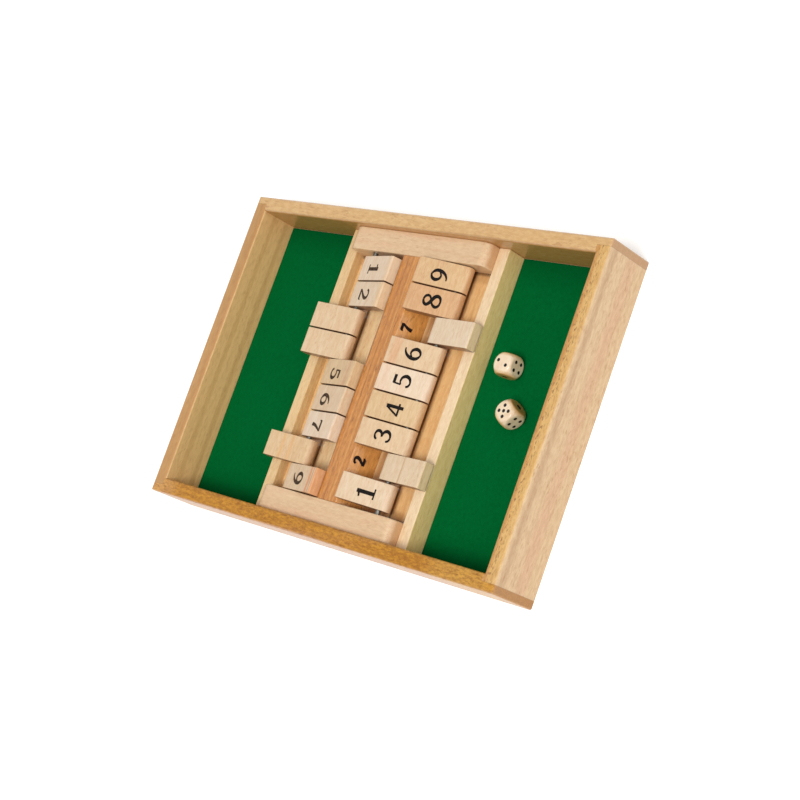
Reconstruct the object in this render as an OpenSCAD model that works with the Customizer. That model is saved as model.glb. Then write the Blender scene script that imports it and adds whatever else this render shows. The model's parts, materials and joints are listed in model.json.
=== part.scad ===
// Wooden number-tile game for two players. A shallow tray holds a raised carrier across its middle,
// with a felt-lined dice well on each side. Two rows of tiles hinge on steel rods in the carrier.
// A raised tile leans on the sloped ridge between the rows, and a shut tile rests on its rail.
// Millimetres. X runs across the two wells, Y along the rows and Z up.
// The origin is on the table, under the middle of the tray.

/* [Tray] */
// Outside length of the tray, across both wells
tray_length = 290; // [240:1:360]
// Outside depth of the tray, along the rows
tray_depth = 200; // [165:1:250]
// Height of the walls
tray_height = 35; // [29:0.5:45]
// Thickness of the walls
wall_t = 9.5; // [7:0.5:13]
// End grain of the far and near walls that laps over the side walls at the corners
corner_lap = 5; // [3:0.5:6]
// Rounding of the rim's edges
rim_round = 1.8; // [0.6:0.1:3]
// Rounding of the upright corners
corner_round = 1.2; // [0.4:0.1:3]

/* [Bottom] */
// Thickness of the bottom panel
panel_t = 3; // [2:0.5:5]
// Height of the panel's underside above the table
panel_lift = 3.5; // [2:0.5:6]
// Depth that the panel is let into the walls
panel_let_in = 4; // [2:0.5:5]
// Thickness of the felt
felt_t = 1; // [0.5:0.1:2]

/* [Carrier] */
// Width of the carrier over its two rails
carrier_w = 128; // [106:1:154]
// Thickness of a rail
rail_t = 8; // [6:0.5:12]
// Thickness of the board under the tiles
board_t = 7.5; // [5:0.5:12]
// Width of the ridge along its top
ridge_top_w = 15.8; // [12:0.2:20]
// Width of the ridge at its foot
ridge_foot_w = 30; // [24:0.5:36]
// Bevel of the ridge's top edges
ridge_bevel = 0.4; // [0.2:0.1:1]
// Length of an end block along the rows
block_len = 14.5; // [11:0.5:20]
// Rounding of an end block's upper corners
block_round = 6; // [2:0.5:10]
// Wood left above the rods in the end blocks
block_cover = 4.5; // [3:0.5:7]
// Height of the rails above the underside of a level tile
rail_rise = 1.6; // [0:0.1:3]
// Rounding of the carrier's other edges
edge_round = 0.7; // [0.3:0.1:1.2]

/* [Tiles] */
// Number of tiles in each row
tile_count = 9; // [6:1:12]
// Thickness of a tile
tile_t = 7.5; // [6:0.5:9]
// Distance from the rod to a tile's rounded end
tile_heel = 7; // [5.5:0.5:10.5]
// Distance that a level tile's tip stands out past its rail
tile_overhang = 1.1; // [0:0.1:4]
// Rounding of a tile's long edges
tile_round = 0.5; // [0.2:0.1:1]
// Rounding of the two edges across a tile's tip
tip_round = 1.2; // [0.3:0.1:2]
// Diameter of the rods
rod_d = 3; // [2:0.5:4]
// Depth that a rod reaches into each end block
rod_seat = 8; // [4:0.5:10]
// Share of its play that each row has slid towards its highest number
row_shift = 0.7; // [-0.7:0.05:0.7]
// Further slide of the shut tiles, as a share of the gap between tiles
shut_shift = 0.6; // [0:0.05:0.6]
// Tiles of the left row that lie shut
left_shut = [3, 4, 8]; // [1:1:9]
// Tiles of the right row that lie shut
right_shut = [2, 7]; // [1:1:9]

/* [Dice] */
// Width of a die over its flat faces
die_w = 13; // [10:0.5:16]
// Diameter of the ball that rounds a die's corners
die_ball = 17; // [16:0.1:19]
// Diameter of a pip
pip_d = 2.1; // [1:0.1:2.2]
// Diameter of the single pip of a one
one_pip_d = 3.4; // [1.6:0.1:4]
// Depth of a pip
pip_depth = 0.4; // [0.2:0.1:0.8]
// Distance from a face's middle lines to its corner pips
pip_spread = 2.3; // [1.8:0.1:2.6]
// Turn of the two pips of a two, which are drilled a little askew
two_turn = 23; // [-45:1:45]
// Distance of the first die from the right rail
die_1_out = 21.8; // [12:0.2:40]
// Place of the first die along the rail
die_1_along = 25; // [15:0.5:70]
// Turn of the first die about the upright
die_1_turn = 1; // [-45:1:45]
// Distance of the second die from the right rail
die_2_out = 34.6; // [12:0.2:40]
// Place of the second die along the rail
die_2_along = -1.5; // [-70:0.5:-1]
// Turn of the second die about the upright
die_2_turn = -40; // [-45:1:45]

/* [Fits] */
// Gap between neighbouring tiles
tile_gap = 0.8; // [0.4:0.1:1.2]
// Play between a row of tiles and each end block
row_play = 1.7; // [0.5:0.1:3]
// Radial clearance of a tile's bore on its rod
bore_clear = 0.08; // [0.03:0.01:0.1]
// Radial clearance of a rod in its sockets
socket_clear = 0.03; // [0.01:0.01:0.06]
// Gap between a shut tile's underside and the inner edge of its rail
lay_gap = 0.25; // [0.1:0.05:0.5]
// Gap between a raised tile's lower edge and the ridge
lean_gap = 0.25; // [0.1:0.05:0.5]
// Room between a level tile's tip and the ridge's top edge
tip_room = 0.6; // [0.5:0.1:1.5]
// Room under the rounded ends as they swing past the board
swing_room = 2.1; // [1:0.1:4]
// Room past the end of a rod in its socket
rod_end_room = 0.3; // [0.1:0.1:1]
// Gap round the felt
felt_gap = 0.25; // [0.1:0.05:1]
// Play of the panel in its grooves
panel_play = 0.1; // [0.05:0.05:0.3]

/* [Hidden] */
$fn = 64;
over = 1;
inner_x = tray_length / 2 - wall_t;
inner_y = tray_depth / 2 - wall_t;
panel_top = panel_lift + panel_t;
board_top = panel_top + board_t;

// The rods stand high enough for the rounded ends to swing over the board. The rails reach up past
// the underside of a level tile, so a shut tile lies with its tip a little raised.
rod_z = board_top + swing_room + tile_heel;
rail_top = rod_z - tile_t / 2 + rail_rise;
block_top = rod_z + rod_d / 2 + block_cover;
ridge_h = block_top - board_top;

// A level tile reaches past its rail on the outside, and stops just short of the ridge's top edge
// on the inside, so the rod stands midway between the two.
rail_outer = carrier_w / 2;
rail_inner = rail_outer - rail_t;
outer_tip_x = rail_outer + tile_overhang;
rod_x = (outer_tip_x + ridge_top_w / 2 + tip_room) / 2;
tile_reach = outer_tip_x - rod_x;

// The row fills the space between the end blocks.
row_space = 2 * (inner_y - block_len);
tile_w = (row_space - 2 * row_play - (tile_count - 1) * tile_gap) / tile_count;
tile_pitch = tile_w + tile_gap;

// Lean of a raised tile. Its lower tip edge is an arc whose middle swings at lean_arm about the rod.
// The tile stops where that arc is lean_gap away from the ridge's slope.
slope_run = (ridge_foot_w - ridge_top_w) / 2;
slope_len = norm([slope_run, ridge_h]);
slope_normal = [ridge_h, slope_run] / slope_len;
rod_off_slope = slope_normal * [rod_x - ridge_top_w / 2, rod_z - block_top];
lean_arm = norm([tile_reach - tip_round, tile_t / 2 - tip_round]);
arm_angle = atan2(tile_t / 2 - tip_round, tile_reach - tip_round);
lean = acos((rod_off_slope - tip_round - lean_gap) / lean_arm)
    - atan2(slope_normal.y, slope_normal.x) + arm_angle;

// Tilt of a shut tile. Its underside comes to rest lay_gap away from the rounding of the rail's
// inner edge, whose middle lies at edge_off from the rod.
edge_off = [rail_inner + edge_round - rod_x, rail_top - edge_round - rod_z];
lay = acos(-(tile_t / 2 + edge_round + lay_gap) / norm(edge_off)) - atan2(edge_off.x, edge_off.y);

tan_wood = [0.85, 0.67, 0.45];
pale_wood = [0.92, 0.79, 0.62];
warm_wood = [0.80, 0.54, 0.30];
green_felt = [0.02, 0.36, 0.15];
bright_steel = [0.76, 0.76, 0.77];
cream_wood = [0.94, 0.88, 0.74];

// A profile in X and Z, carried along Y
module along_y(length) {
    rotate([90, 0, 0]) linear_extrude(length, center = true) children();
}

// A profile in Y and Z, carried along X
module along_x(length) {
    rotate([90, 0, 90]) linear_extrude(length, center = true) children();
}

// A bar's cross-section on the axis, with its two upper corners rounded
module rounded_top(width, height, radius) {
    translate([-width / 2, 0]) square([width, height - radius]);
    translate([-width / 2 + radius, 0]) square([width - 2 * radius, height]);
    for (side = [-1, 1]) {
        translate([side * (width / 2 - radius), height - radius]) circle(radius);
    }
}

// A rectangle about the origin with all four corners rounded
module rounded_all(width, height, radius) {
    square([width - 2 * radius, height], center = true);
    square([width, height - 2 * radius], center = true);
    for (x = [-1, 1], y = [-1, 1]) {
        translate([x * (width / 2 - radius), y * (height / 2 - radius)]) circle(radius);
    }
}

// The rim of an opening in section: as wide as the opening at the bottom, wider by the rounding at the top
module eased_opening(width) {
    difference() {
        translate([-width / 2 - rim_round, tray_height - rim_round]) {
            square([width + 2 * rim_round, rim_round + over]);
        }
        for (side = [-1, 1]) {
            translate([side * (width / 2 + rim_round), tray_height - rim_round]) circle(rim_round);
        }
    }
}

// The four walls as one ring, with the rim eased inside and outside and the groove for the panel
module wall_ring() {
    difference() {
        intersection() {
            along_y(tray_depth + 2 * over) rounded_top(tray_length, tray_height, rim_round);
            along_x(tray_length + 2 * over) rounded_top(tray_depth, tray_height, rim_round);
            linear_extrude(tray_height) rounded_all(tray_length, tray_depth, corner_round);
        }
        translate([-inner_x, -inner_y, -over]) {
            cube([2 * inner_x, 2 * inner_y, tray_height + 2 * over]);
        }
        intersection() {
            along_y(tray_depth) eased_opening(2 * inner_x);
            along_x(tray_length) eased_opening(2 * inner_y);
        }
        translate([-inner_x - panel_let_in, -inner_y - panel_let_in, panel_lift]) {
            cube([2 * (inner_x + panel_let_in), 2 * (inner_y + panel_let_in), panel_t + panel_play]);
        }
    }
}

// The space of a side wall. Its ends stop at the laps of the far and near walls.
module side_space(side) {
    length = tray_depth - 2 * corner_lap;
    start = side > 0 ? inner_x : -inner_x - wall_t - over;
    translate([start, -length / 2, -over]) cube([wall_t + over, length, tray_height + 2 * over]);
}

module side_wall(side) {
    color(tan_wood) intersection() {
        wall_ring();
        side_space(side);
    }
}

module long_wall(end) {
    start = end > 0 ? inner_y : -inner_y - wall_t - over;
    color(tan_wood) difference() {
        intersection() {
            wall_ring();
            translate([-tray_length / 2 - over, start, -over]) {
                cube([tray_length + 2 * over, wall_t + over, tray_height + 2 * over]);
            }
        }
        side_space(-1);
        side_space(1);
    }
}

module bottom_panel() {
    length = 2 * (inner_x + panel_let_in - panel_play);
    depth = 2 * (inner_y + panel_let_in - panel_play);
    color(tan_wood) translate([-length / 2, -depth / 2, panel_lift]) cube([length, depth, panel_t]);
}

module felt(side) {
    width = inner_x - rail_outer - 2 * felt_gap;
    depth = 2 * (inner_y - felt_gap);
    start = side > 0 ? rail_outer + felt_gap : -inner_x + felt_gap;
    color(green_felt) translate([start, -depth / 2, panel_top]) cube([width, depth, felt_t]);
}

module carrier_board() {
    color(warm_wood) translate([-rail_inner, -inner_y, panel_top]) {
        cube([2 * rail_inner, 2 * inner_y, board_t]);
    }
}

module ridge() {
    top = ridge_top_w / 2;
    drop = ridge_bevel * ridge_h / slope_run;
    outline = [
        [-ridge_foot_w / 2, 0], [ridge_foot_w / 2, 0],
        [top + ridge_bevel, ridge_h - drop], [top - ridge_bevel, ridge_h],
        [-top + ridge_bevel, ridge_h], [-top - ridge_bevel, ridge_h - drop]
    ];
    color(warm_wood) translate([0, 0, board_top]) along_y(row_space) polygon(outline);
}

module rail(side) {
    color(pale_wood) translate([side * (rail_outer - rail_t / 2), 0, panel_top]) {
        along_y(2 * inner_y) rounded_top(rail_t, rail_top - panel_top, edge_round);
    }
}

module end_block(end) {
    height = block_top - board_top;
    middle = end * (inner_y - block_len / 2);
    color(pale_wood) difference() {
        translate([0, middle, board_top]) intersection() {
            along_y(block_len + 2 * over) rounded_top(2 * rail_inner, height, block_round);
            along_x(2 * rail_inner + 2 * over) rounded_top(block_len, height, edge_round);
        }
        for (side = [-1, 1]) {
            translate([side * rod_x, end * (inner_y - block_len - over), rod_z]) {
                rotate([-90 * end, 0, 0]) {
                    cylinder(h = rod_seat + rod_end_room + over, d = rod_d + 2 * socket_clear);
                }
            }
        }
    }
}

module rod(side) {
    length = row_space + 2 * rod_seat;
    color(bright_steel) translate([side * rod_x, 0, rod_z]) rotate([90, 0, 0]) {
        cylinder(h = length, d = rod_d, center = true);
    }
}

// A tile in section, level, with its tip along +X and its heel a full round
module tile_profile() {
    heel_middle = -tile_heel + tile_t / 2;
    translate([heel_middle, 0]) circle(d = tile_t);
    translate([heel_middle, -tile_t / 2]) square([tile_reach - tip_round - heel_middle, tile_t]);
    translate([0, -tile_t / 2 + tip_round]) square([tile_reach, tile_t - 2 * tip_round]);
    for (edge = [-1, 1]) {
        translate([tile_reach - tip_round, edge * (tile_t / 2 - tip_round)]) circle(tip_round);
    }
}

// A tile about its rod, bored to run on it
module tile() {
    intersection() {
        along_y(tile_w) difference() {
            tile_profile();
            circle(d = rod_d + 2 * bore_clear);
        }
        along_x(2 * (tile_reach + tile_heel)) rounded_all(tile_w, tile_t, tile_round);
    }
}

// The tile with this number at its place. The left row is the right one turned half round.
module placed_tile(side, number) {
    shut = len(search(number, side > 0 ? right_shut : left_shut)) > 0;
    slide = row_shift * row_play + (shut ? shut_shift * tile_gap : 0);
    place = (number - (tile_count + 1) / 2) * tile_pitch + slide;
    color(pale_wood) rotate([0, 0, side > 0 ? 0 : 180]) {
        translate([rod_x, place, rod_z]) rotate([0, shut ? -lay : lean - 180, 0]) tile();
    }
}

// Places of the pips on a face, in steps of the spread
function pips(number) = concat(
    number % 2 == 1 ? [[0, 0]] : [],
    number > 1 ? [[1, -1], [-1, 1]] : [],
    number > 3 ? [[1, 1], [-1, -1]] : [],
    number == 6 ? [[1, 0], [-1, 0]] : []
);

// A die about its middle. Opposite faces add up to seven.
module die() {
    faces = [
        [2, [0, 0, two_turn]], [5, [180, 0, 0]], [4, [0, 90, 0]],
        [3, [0, -90, 0]], [1, [90, 0, 0]], [6, [-90, 0, 0]]
    ];
    difference() {
        intersection() {
            cube(die_w, center = true);
            sphere(d = die_ball);
        }
        for (face = faces) {
            rotate(face[1]) for (spot = pips(face[0])) {
                translate([spot.x * pip_spread, spot.y * pip_spread, die_w / 2 - pip_depth]) {
                    cylinder(h = pip_depth + over, d = face[0] == 1 ? one_pip_d : pip_d);
                }
            }
        }
    }
}

module placed_die(out, along, turn, upended) {
    color(cream_wood) translate([rail_outer + out, along, panel_top + felt_t + die_w / 2]) {
        rotate([upended ? 180 : 0, 0, turn]) die();
    }
}

side_wall(-1);  // wall_left
side_wall(1);  // wall_right
long_wall(1);  // wall_far
long_wall(-1);  // wall_near
bottom_panel();
felt(-1);  // felt_left
felt(1);  // felt_right
carrier_board();
ridge();
rail(-1);  // rail_left
rail(1);  // rail_right
end_block(1);  // end_block_far
end_block(-1);  // end_block_near
rod(-1);  // rod_left
rod(1);  // rod_right
for (number = [1:tile_count]) {
    placed_tile(-1, number);
    placed_tile(1, number);
}
placed_die(die_1_out, die_1_along, die_1_turn, false);  // die_1
placed_die(die_2_out, die_2_along, die_2_turn, true);  // die_2
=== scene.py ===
import json
import math

import bmesh
import bpy
import numpy as np
from mathutils import Matrix, Vector
from mathutils.geometry import delaunay_2d_cdt


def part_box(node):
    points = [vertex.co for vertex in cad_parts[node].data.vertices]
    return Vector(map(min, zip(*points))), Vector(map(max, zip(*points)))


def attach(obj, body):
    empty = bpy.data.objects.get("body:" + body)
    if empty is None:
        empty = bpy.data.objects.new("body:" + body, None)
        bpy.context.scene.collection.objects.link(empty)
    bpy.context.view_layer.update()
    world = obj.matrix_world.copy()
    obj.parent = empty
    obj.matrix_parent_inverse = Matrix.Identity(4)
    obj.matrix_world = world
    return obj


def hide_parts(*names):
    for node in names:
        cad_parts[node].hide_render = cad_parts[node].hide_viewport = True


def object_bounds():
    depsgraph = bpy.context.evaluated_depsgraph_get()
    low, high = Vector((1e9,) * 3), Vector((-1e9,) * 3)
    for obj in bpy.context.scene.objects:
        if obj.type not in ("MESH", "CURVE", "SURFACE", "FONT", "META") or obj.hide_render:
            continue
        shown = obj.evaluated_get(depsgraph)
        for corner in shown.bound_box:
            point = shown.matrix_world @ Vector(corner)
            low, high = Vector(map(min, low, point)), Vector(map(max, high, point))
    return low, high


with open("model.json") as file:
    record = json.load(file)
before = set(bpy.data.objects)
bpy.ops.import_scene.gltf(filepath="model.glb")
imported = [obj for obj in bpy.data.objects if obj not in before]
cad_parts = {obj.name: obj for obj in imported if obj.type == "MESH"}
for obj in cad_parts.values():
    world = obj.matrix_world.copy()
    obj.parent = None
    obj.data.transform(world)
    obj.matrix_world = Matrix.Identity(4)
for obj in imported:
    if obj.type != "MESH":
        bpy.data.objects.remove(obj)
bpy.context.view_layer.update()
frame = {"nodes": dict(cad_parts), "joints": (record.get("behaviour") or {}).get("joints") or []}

MM = 0.001
X_AXIS = (1, 0, 0)
Y_AXIS = (0, 1, 0)
UP = (0, 0, 1)
# Which side of the ridge each row is on, along x
ROWS = {"right": 1, "left": -1}
NUMBERS = range(1, 10)


# Colours and the small socket language

def paint(red, green, blue):
    """A screen colour, 0 to 255, in scene linear: ((c + 0.055) / 1.055) ^ 2.4, or c / 12.92 near black."""
    shares = [part / 255 for part in (red, green, blue)]
    linear = [part / 12.92 if part <= 0.04045 else ((part + 0.055) / 1.055) ** 2.4 for part in shares]
    return (*linear, 1.0)


class Value:
    """One socket. Python's operators on it add Math nodes to its finish."""

    def __init__(self, finish, socket):
        self.finish = finish
        self.socket = socket

    def __add__(self, other):
        return self.finish.math("ADD", self, other)

    def __sub__(self, other):
        return self.finish.math("SUBTRACT", self, other)

    def __rsub__(self, other):
        return self.finish.math("SUBTRACT", other, self)

    def __mul__(self, other):
        return self.finish.math("MULTIPLY", self, other)

    def __truediv__(self, other):
        return self.finish.math("DIVIDE", self, other)

    __radd__ = __add__
    __rmul__ = __mul__


class Finish:
    """One material. Its methods add nodes, and most of them return a Value."""

    def __init__(self, name, **shader):
        self.material = bpy.data.materials.new(name)
        self.material.use_nodes = True
        self.tree = self.material.node_tree
        self.shader = self.tree.nodes["Principled BSDF"]
        self.shade(**shader)
        self.place = self.node("TexCoord", output="Object")
        self.facing = self.node("TexCoord", output="Normal")

    def set(self, node, sockets):
        """Writes plain values into a node's sockets, and links the Values."""
        for key, value in sockets.items():
            socket = node.inputs[key.replace("_", " ") if isinstance(key, str) else key]
            if isinstance(value, Value):
                self.tree.links.new(value.socket, socket)
            else:
                socket.default_value = value

    def shade(self, **sockets):
        """Sets the shader's sockets, named with _ for each space."""
        self.set(self.shader, sockets)

    def node(self, kind, settings=None, sockets=None, output=0):
        """A new node: its type, its settings or a ramp's stops, its sockets, and the output used."""
        made = self.tree.nodes.new("ShaderNode" + kind)
        for key, value in (settings or {}).items():
            if key == "stops":
                elements = made.color_ramp.elements
                while len(elements) < len(value):
                    elements.new(1.0)
                for element, (place, height) in zip(elements, value):
                    element.position = place
                    element.color = (height, height, height, 1.0)
            else:
                setattr(made, key, value)
        self.set(made, sockets or {})
        return Value(self, made.outputs[output])

    def math(self, operation, *inputs):
        """An operation on numbers and Values."""
        return self.node("Math", {"operation": operation}, dict(enumerate(inputs)))

    def away(self, value):
        """How far a number is from zero."""
        return self.math("ABSOLUTE", value)

    def axis(self, where, index):
        """One of a place's three numbers."""
        return self.node("SeparateXYZ", None, {0: where}, index)

    def towards(self, way):
        """1 where the surface faces a way of length 1, 0 where it is side on."""
        return self.node("VectorMath", {"operation": "DOT_PRODUCT"}, {0: self.facing, 1: way}, "Value")

    def ramp(self, value, *stops):
        """A number from a number, straight between the stops (place, height)."""
        return self.node("ValToRGB", {"stops": stops}, {0: value})

    def mix(self, share, first, second, way="MIX"):
        """The first colour with a share of the second."""
        settings = {"data_type": "RGBA", "blend_type": way}
        return self.node("Mix", settings, {0: share, 6: first, 7: second}, 2)

    def noise(self, where, size, seed, detail=3.0, rough=0.55):
        """Noise whose features are size = (x, y, z) long, in the units of where."""
        steps = self.node("VectorMath", {"operation": "DIVIDE"}, {0: where, 1: size})
        sockets = {"Vector": steps, "W": seed, "Scale": 1.0, "Detail": detail, "Roughness": rough}
        return self.node("TexNoise", {"noise_dimensions": "4D"}, sockets)

    def millimetres(self):
        """Object coordinates in millimetres."""
        return self.node("VectorMath", {"operation": "SCALE"}, {0: self.place, "Scale": 1 / MM})

    def board(self, along, up, middle):
        """Millimetres in a board's own frame: x with the grain, z out of its face."""
        along = Vector(along).normalized()
        up = Vector(up).normalized()
        turn = Matrix((along, up.cross(along), up))
        start = -(turn @ Vector(middle)) / MM
        sockets = {"Scale": (1 / MM,) * 3, "Rotation": turn.to_euler(), "Location": start}
        return self.node("Mapping", {"vector_type": "POINT"}, {"Vector": self.place, **sockets})

    def bump(self, height, depth):
        """Bends the normal by a height from 0 to 1 that stands for depth metres."""
        made = self.node("Bump", None, {"Height": height, "Distance": depth, "Strength": 1.0})
        self.shade(Normal=made)


# Wood

ROSE = paint(226, 168, 132)
SEAM_TONE = paint(92, 56, 30)
ENAMEL = (paint(6, 5, 5), paint(20, 17, 16))
WOOD_RELIEF = 0.07 * MM
# What timber() does where a piece says nothing else. Lengths are in millimetres.
PLAIN_LOOK = {
    "coat": 0.85, "satin": 0.14,
    "bands": 0.6, "band_size": (120.0, 5.5), "rose": 0.3,
    "rings": 0.3, "ring_step": 5.0, "pith": (9.0, -60.0),
    "fine": 0.45, "flecks": 0.5, "grit": (4.2, 0.8),
    "mottle": 0.0, "blotch": (5.0, 1.5, 1.5), "calm": None,
    "faces": (), "stains": (), "dashes": (), "waver": 2.0,
    "end": 0.35, "seams": (), "painted": None,
}


def timber(name, along, up, middle, tone, seed, **changes):
    """Planed rubberwood under a clear satin varnish.

    Layers in the board's own frame, where x runs with the grain and z out of its face: broad bands
    of tone, patches of rose, growth rings round a pith outside the board, fine streaks, fibres, and
    short dark pore lines that gather in clusters. Faces cut across the grain are browner and show
    the pores as dots. Beside shares and sizes, the changes to PLAIN_LOOK can be:

    faces: a tint for the faces that look one way, as (normal, colour, share): painted light and shade on
    one side of a piece, and the golden tone of some rims
    calm: the normal of a face whose mottle and pores are faint
    stains: soft stripes, as (axis, middle, half width, colour, share), both the wood's own stains and
    streaks and painted light and shade
    dashes: stripes of open pores, given like stains
    seams: dark joint lines on both sides, as (object axis, distance, half width, share)
    painted: the attribute that is 1 where black enamel covers the wood
    """
    light, dark, warm = tone
    look = {**PLAIN_LOOK, "end_tone": warm, **changes}
    finish = Finish(name, Roughness=0.4, Specular_IOR_Level=0.25, Coat_Weight=look["coat"],
                    Coat_Roughness=look["satin"])
    where = finish.board(along, up, middle)
    sides = [finish.axis(where, index) for index in range(3)]

    drift = finish.noise(where, (90.0, 16.0, 16.0), seed, 2.0) - 0.5
    pith_side, pith_rise = look["pith"]
    off_side = sides[1] - pith_side + drift * 16.0
    off_rise = sides[2] - pith_rise + sides[0] * 0.012
    reach = finish.math("SQRT", off_side * off_side + off_rise * off_rise)
    tooth = finish.math("FRACT", reach / look["ring_step"])
    ring = finish.ramp(tooth, (0.0, 0.0), (0.55, 0.22), (0.9, 1.0), (1.0, 0.0))

    long, wide = look["band_size"]
    step, width = look["grit"]
    band = finish.noise(where, (long, wide, wide), seed + 3.1, 4.0, 0.62)
    rosy = finish.noise(where, (long / 2, wide * 1.4, wide * 1.4), seed + 17.3, 2.0)
    streak = finish.noise(where, (34.0, 1.0, 1.0), seed + 5.7, 3.0, 0.65)
    fibre = finish.noise(where, (9.0, 0.4, 0.4), seed + 8.3, 2.0, 0.5)
    pore = finish.noise(where, (step, width, width), seed + 11.9, 2.0, 0.5)
    cluster = finish.noise(where, (26.0, 6.0, 6.0), seed + 23.9, 2.0)
    crowd = finish.ramp(cluster, (0.36, 0.25), (0.62, 1.0))
    pores = finish.ramp(pore, (0.56, 0.0), (0.72, 1.0)) * crowd
    broad = finish.ramp(band, (0.3, 0.0), (0.7, 1.0))
    fine = finish.ramp(streak, (0.3, 0.0), (0.72, 1.0))
    rose = finish.ramp(rosy, (0.48, 0.0), (0.72, 1.0))

    colour = finish.mix(broad * look["bands"], light, dark)
    colour = finish.mix(rose * look["rose"], colour, ROSE)
    colour = finish.mix(ring * look["rings"], colour, warm)
    colour = finish.mix(fine * look["fine"], colour, dark)
    colour = finish.mix((1.0 - fibre) * 0.25, colour, light)
    # Tints by facing and soft stripes: besides the wood's own marks, they carry painted light and shade
    for normal, tint, share in look["faces"]:
        there = finish.ramp(finish.towards(normal), (0.7, 0.0), (0.95, 1.0))
        colour = finish.mix(there * (0.7 + streak * 0.4) * share, colour, tint)
    for axis, centre, half, stain, share in look["stains"]:
        off = finish.away(sides[axis] - centre + drift * look["waver"])
        there = finish.ramp(off / half, (0.0, 1.0), (0.6, 0.72), (1.0, 0.0))
        colour = finish.mix(there * (0.6 + streak * 0.8) * share, colour, stain)

    marked = 1.0
    if look["calm"]:
        marked = finish.ramp(finish.towards(look["calm"]), (0.7, 1.0), (0.95, 0.25))
    if look["mottle"]:
        blotch = finish.noise(where, look["blotch"], seed + 41.0, 3.0, 0.7)
        stir = marked * look["mottle"]
        deeper = finish.ramp(blotch, (0.4, 0.0), (0.66, 1.0))
        paler = finish.ramp(blotch, (0.34, 1.0), (0.5, 0.0))
        colour = finish.mix(deeper * stir, colour, warm)
        colour = finish.mix(paler * stir * 0.7, colour, light)
    colour = finish.mix(pores * marked * look["flecks"], colour, warm)
    for axis, centre, half, tint, share in look["dashes"]:
        off = finish.away(sides[axis] - centre + drift * 4.0)
        mark = finish.noise(where, (2.4, 0.8, 0.8), seed + 47.0, 2.0, 0.5)
        there = finish.ramp(off / half, (0.0, 1.0), (1.0, 0.0))
        dash = finish.ramp(mark, (0.54, 0.0), (0.62, 1.0))
        colour = finish.mix(there * dash * share, colour, tint)

    across = finish.away(finish.towards(Vector(along).normalized()))
    end = finish.ramp(across, (0.6, 0.0), (0.95, 1.0))
    dots = finish.noise(where, (0.7, 0.7, 0.7), seed + 29.0, 3.0, 0.6)
    dots = finish.ramp(dots, (0.42, 0.0), (0.7, 1.0))
    colour = finish.mix(end * look["end"], colour, look["end_tone"])
    colour = finish.mix(end * dots * 0.3, colour, warm)
    for axis, at, half, share in look["seams"]:
        off = finish.away(finish.away(finish.axis(finish.place, axis)) - at * MM)
        seam = finish.ramp(off / (half * MM), (0.0, 1.0), (0.5, 0.6), (1.0, 0.0))
        colour = finish.mix(seam * share, colour, SEAM_TONE)
    if look["painted"]:
        enamel = finish.node("Attribute", {"attribute_name": look["painted"]}, output="Fac")
        colour = finish.mix(enamel, colour, finish.mix(fibre, *ENAMEL))
        finish.shade(Coat_Weight=0.7 - enamel * 0.65)
    finish.shade(Base_Color=colour, Roughness=0.36 + fine * 0.1 + pores * 0.2)
    finish.bump(fine * 0.3 + fibre * 0.3 - pores * 0.7, WOOD_RELIEF)
    return finish.material


# Surfaces

# Points of a CAD node nearer than this are one, flatter edges are dissolved, and sharper ones eased
SAME_POINT = 1e-6
FLAT_EDGE = math.radians(0.4)
SHARP_EDGE = math.radians(35)


def middle_of(node):
    """The middle of a node's box."""
    low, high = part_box(node)
    return (low + high) / 2


def link(name, data):
    """A new object in the scene, from its mesh, light or camera data."""
    made = bpy.data.objects.new(name, data)
    bpy.context.scene.collection.objects.link(made)
    return made


def mesh_piece(name, points, faces, body, materials, smooth=True):
    """An object at the origin whose place is in its mesh, riding on a body."""
    mesh = bpy.data.meshes.new(name)
    mesh.from_pydata(points, [], faces)
    mesh.polygons.foreach_set("use_smooth", [smooth] * len(mesh.polygons))
    for material in materials:
        mesh.materials.append(material)
    mesh.validate()
    made = link(name, mesh)
    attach(made, body)
    return made


def dress(material, *nodes):
    """Gives CAD nodes a better material."""
    for name in nodes:
        slots = frame["nodes"][name].data.materials
        if not slots:
            slots.append(material)
        for index in range(len(slots)):
            slots[index] = material


def eased(node, body, material, width, segments=3):
    """The node's own surface with its doubles merged, its flat triangles joined and its arrises eased.

    Normals are weighted by area, so that a rounded end doesn't shade the flat face it runs into.
    """
    form = bmesh.new()
    form.from_mesh(frame["nodes"][node].data)
    bmesh.ops.remove_doubles(form, verts=form.verts, dist=SAME_POINT)
    bmesh.ops.dissolve_limit(form, angle_limit=FLAT_EDGE, verts=form.verts, edges=form.edges)
    mesh = bpy.data.meshes.new(node + "_eased")
    form.to_mesh(mesh)
    form.free()
    mesh.polygons.foreach_set("use_smooth", [True] * len(mesh.polygons))
    mesh.materials.append(material)
    piece = link(node + "_eased", mesh)
    arris = piece.modifiers.new("arris", "BEVEL")
    arris.width = width
    arris.segments = segments
    arris.limit_method = "ANGLE"
    arris.angle_limit = SHARP_EDGE
    arris.use_clamp_overlap = False
    even = piece.modifiers.new("even", "WEIGHTED_NORMAL")
    even.mode = "FACE_AREA"
    even.weight = 100
    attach(piece, body)
    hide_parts(node)


def rounded(low, high, radius, count, round_steps=5):
    """Stations from low to high, close together over the radius at each end."""
    bend = radius * (1 - np.cos(np.linspace(0, math.pi / 2, round_steps + 1)))
    middle = np.linspace(low + radius, high - radius, count)[1:-1]
    return np.concatenate([low + bend, middle, high - bend[::-1]])


# Felt

# How far the felt's ends are from its middle, in millimetres
FELT_END = 90.0
FELT_ROLL = 0.6 * MM
FELT_WAVE = 0.04 * MM
FELT_RELIEF = 0.22 * MM
# How many lines are drawn over a felt's width and length, beside those of its rolled edges
FELT_STATIONS = (60, 180)


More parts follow.
